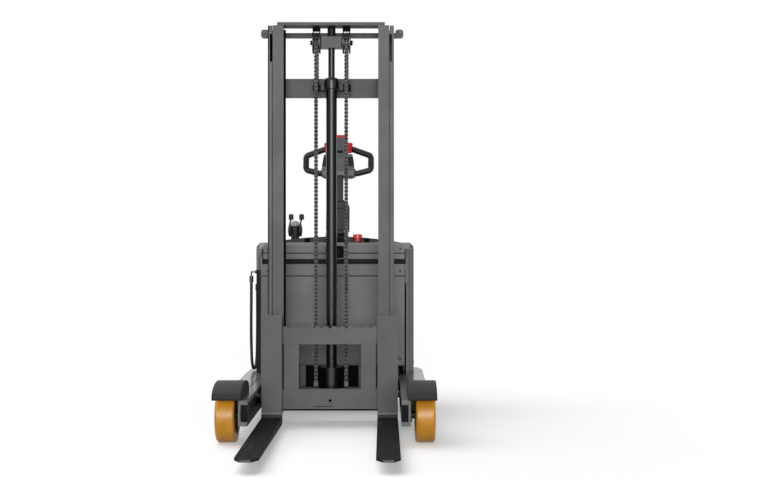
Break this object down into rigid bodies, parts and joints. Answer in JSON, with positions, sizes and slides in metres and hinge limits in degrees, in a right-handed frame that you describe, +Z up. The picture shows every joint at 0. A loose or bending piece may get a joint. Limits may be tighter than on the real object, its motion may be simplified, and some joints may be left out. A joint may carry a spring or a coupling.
{
  "type": "walk-behind reach stacker",
  "caption": "Pedestrian electric reach stacker: straddle legs, reaching mast with chain lift, hook-on forks, steering tiller and battery body.",
  "frame": {"origin": "on the floor under the middle of the truck's box, with forks lowered, mast drawn back and tiller upright", "axes": "+X to the right seen from the front of the forks' load, forks point along -Y, +Z up"},
  "size_m": [1.0076, 2.2223, 2.022],
  "materials": {
    "grey_paint": "satin",
    "dark_paint": "satin",
    "bare_steel": "oiled",
    "rod_chrome": "polished",
    "casting": "painted",
    "finned_aluminium": "cast",
    "amber_tread": "satin",
    "black_plastic": "matt",
    "grey_plastic": "satin",
    "red_plastic": "gloss",
    "hose_rubber": "matt"
  },
  "bodies": {
    "chassis": {"chassis_frame": "grey_paint", "leg_left": "grey_paint", "leg_right": "grey_paint", "fender_left": "dark_paint", "fender_right": "dark_paint", "load_axles": "bare_steel", "front_panel": "grey_paint", "hood": "grey_paint", "side_panel_left": "grey_paint", "side_panel_right": "grey_paint", "rear_panel": "grey_paint", "battery": "black_plastic", "pump_unit": "casting", "controller": "finned_aluminium", "lever_console": "black_plastic", "valve_block": "bare_steel", "hose": "hose_rubber", "hose_fittings": "bare_steel", "reach_cylinder": "dark_paint"},
    "mast_outer": {"outer_rail_left": "grey_paint", "outer_rail_right": "grey_paint", "mast_ties": "grey_paint", "reach_frame": "grey_paint", "reach_rollers": "bare_steel", "lift_cylinder": "dark_paint", "reach_rod": "rod_chrome"},
    "mast_inner": {"inner_rail_left": "grey_paint", "inner_rail_right": "grey_paint", "inner_top_bar": "grey_paint", "inner_foot_tie": "grey_paint", "lift_rod": "rod_chrome", "crosshead": "grey_paint", "chain_wraps": "bare_steel", "chain_tails": "bare_steel", "mast_rollers": "bare_steel"},
    "carriage": {"carriage_frame": "grey_paint", "carriage_rollers": "bare_steel", "chain_anchors": "bare_steel", "lift_chains": "bare_steel"},
    "drive_turret": {"drive_unit": "casting", "steer_column": "dark_paint"},
    "tiller": {"tiller_arm": "grey_paint", "tiller_handle": "black_plastic", "tiller_head": "grey_plastic"},
    "sheave_left": {"sheave_left": "bare_steel"},
    "sheave_right": {"sheave_right": "bare_steel"},
    "fork_left": {"fork_left": "dark_paint"},
    "fork_right": {"fork_right": "dark_paint"},
    "drive_wheel": {"drive_wheel": "amber_tread"},
    "throttle": {"throttle": "red_plastic"},
    "belly_button": {"belly_button": "red_plastic"},
    "e_stop": {"e_stop": "red_plastic"},
    "lever_left": {"lever_left": "black_plastic"},
    "lever_right": {"lever_right": "black_plastic"},
    "load_wheel_left": {"load_wheel_left": "amber_tread"},
    "load_wheel_right": {"load_wheel_right": "amber_tread"},
    "caster_left": {"caster_left": "dark_paint"},
    "caster_right": {"caster_right": "dark_paint"},
    "caster_wheel_left": {"caster_wheel_left": "amber_tread"},
    "caster_wheel_right": {"caster_wheel_right": "amber_tread"}
  },
  "joints": [
    {"name": "reach", "type": "slide", "parent": "chassis", "child": "mast_outer", "axis": [0, -1, 0], "range_m": [0, 0.48]},
    {"name": "lift", "type": "slide", "parent": "mast_outer", "child": "mast_inner", "axis": [0, 0, 1], "range_m": [0, 1.45], "deforming": ["chain_tails"]},
    {"name": "carriage_lift", "type": "slide", "parent": "mast_inner", "child": "carriage", "axis": [0, 0, 1], "range_m": [0, 1.45], "deforming": ["lift_chains"]},
    {"name": "sheave_left_spin", "type": "hinge", "parent": "mast_inner", "child": "sheave_left", "pos_m": [-0.076, 0.16419, 1.929], "axis": [1, 0, 0], "range_deg": [-1937.1, 0]},
    {"name": "fork_left_shift", "type": "slide", "parent": "carriage", "child": "fork_left", "axis": [1, 0, 0], "range_m": [0, 0.2]},
    {"name": "load_wheel_left_roll", "type": "hinge", "parent": "chassis", "child": "load_wheel_left", "pos_m": [-0.454, -0.36611, 0.125], "axis": [1, 0, 0], "continuous": true},
    {"name": "caster_left_swivel", "type": "hinge", "parent": "chassis", "child": "caster_left", "pos_m": [-0.28, 0.85889, 0.19], "axis": [0, 0, 1], "continuous": true},
    {"name": "caster_left_roll", "type": "hinge", "parent": "caster_left", "child": "caster_wheel_left", "pos_m": [-0.28, 0.82389, 0.0625], "axis": [1, 0, 0], "continuous": true},
    {"name": "lever_left_tilt", "type": "hinge", "parent": "chassis", "child": "lever_left", "pos_m": [-0.255, 0.70089, 0.983], "axis": [1, 0, 0], "range_deg": [-15, 15], "stiffness_Nm_per_rad": 2},
    {"name": "sheave_right_spin", "type": "hinge", "parent": "mast_inner", "child": "sheave_right", "pos_m": [0.076, 0.16419, 1.929], "axis": [1, 0, 0], "range_deg": [-1937.1, 0]},
    {"name": "fork_right_shift", "type": "slide", "parent": "carriage", "child": "fork_right", "axis": [-1, 0, 0], "range_m": [0, 0.2]},
    {"name": "load_wheel_right_roll", "type": "hinge", "parent": "chassis", "child": "load_wheel_right", "pos_m": [0.454, -0.36611, 0.125], "axis": [1, 0, 0], "continuous": true},
    {"name": "caster_right_swivel", "type": "hinge", "parent": "chassis", "child": "caster_right", "pos_m": [0.28, 0.85889, 0.19], "axis": [0, 0, 1], "continuous": true},
    {"name": "caster_right_roll", "type": "hinge", "parent": "caster_right", "child": "caster_wheel_right", "pos_m": [0.28, 0.82389, 0.0625], "axis": [1, 0, 0], "continuous": true},
    {"name": "lever_right_tilt", "type": "hinge", "parent": "chassis", "child": "lever_right", "pos_m": [-0.197, 0.70089, 0.983], "axis": [1, 0, 0], "range_deg": [-15, 15], "stiffness_Nm_per_rad": 2},
    {"name": "steer", "type": "hinge", "parent": "chassis", "child": "drive_turret", "pos_m": [0, 0.82889, 0.33], "axis": [0, 0, 1], "range_deg": [-80, 80]},
    {"name": "drive_wheel_roll", "type": "hinge", "parent": "drive_turret", "child": "drive_wheel", "pos_m": [0, 0.82889, 0.115], "axis": [1, 0, 0], "continuous": true},
    {"name": "tiller_tilt", "type": "hinge", "parent": "drive_turret", "child": "tiller", "pos_m": [0, 0.94389, 0.955], "axis": [-1, 0, 0], "range_deg": [0, 75], "stiffness_Nm_per_rad": 24, "springref_deg": -51.57},
    {"name": "throttle_turn", "type": "hinge", "parent": "tiller", "child": "throttle", "pos_m": [0, 1.04, 1.4667], "axis": [1, 0, 0], "range_deg": [-35, 35], "stiffness_Nm_per_rad": 0.5},
    {"name": "belly_button_press", "type": "slide", "parent": "tiller", "child": "belly_button", "axis": [0, -0.2334, -0.9724], "range_m": [0, 0.008], "stiffness_N_per_m": 800},
    {"name": "e_stop_press", "type": "slide", "parent": "chassis", "child": "e_stop", "axis": [0, 0, -1], "range_m": [0, 0.01]}
  ],
  "couplings": [
    {"joint": "carriage_lift", "follows": "lift", "ratio": 1},
    {"joint": "sheave_left_spin", "follows": "lift", "rad_per_m": -23.256},
    {"joint": "sheave_right_spin", "follows": "lift", "rad_per_m": -23.256}
  ]
}
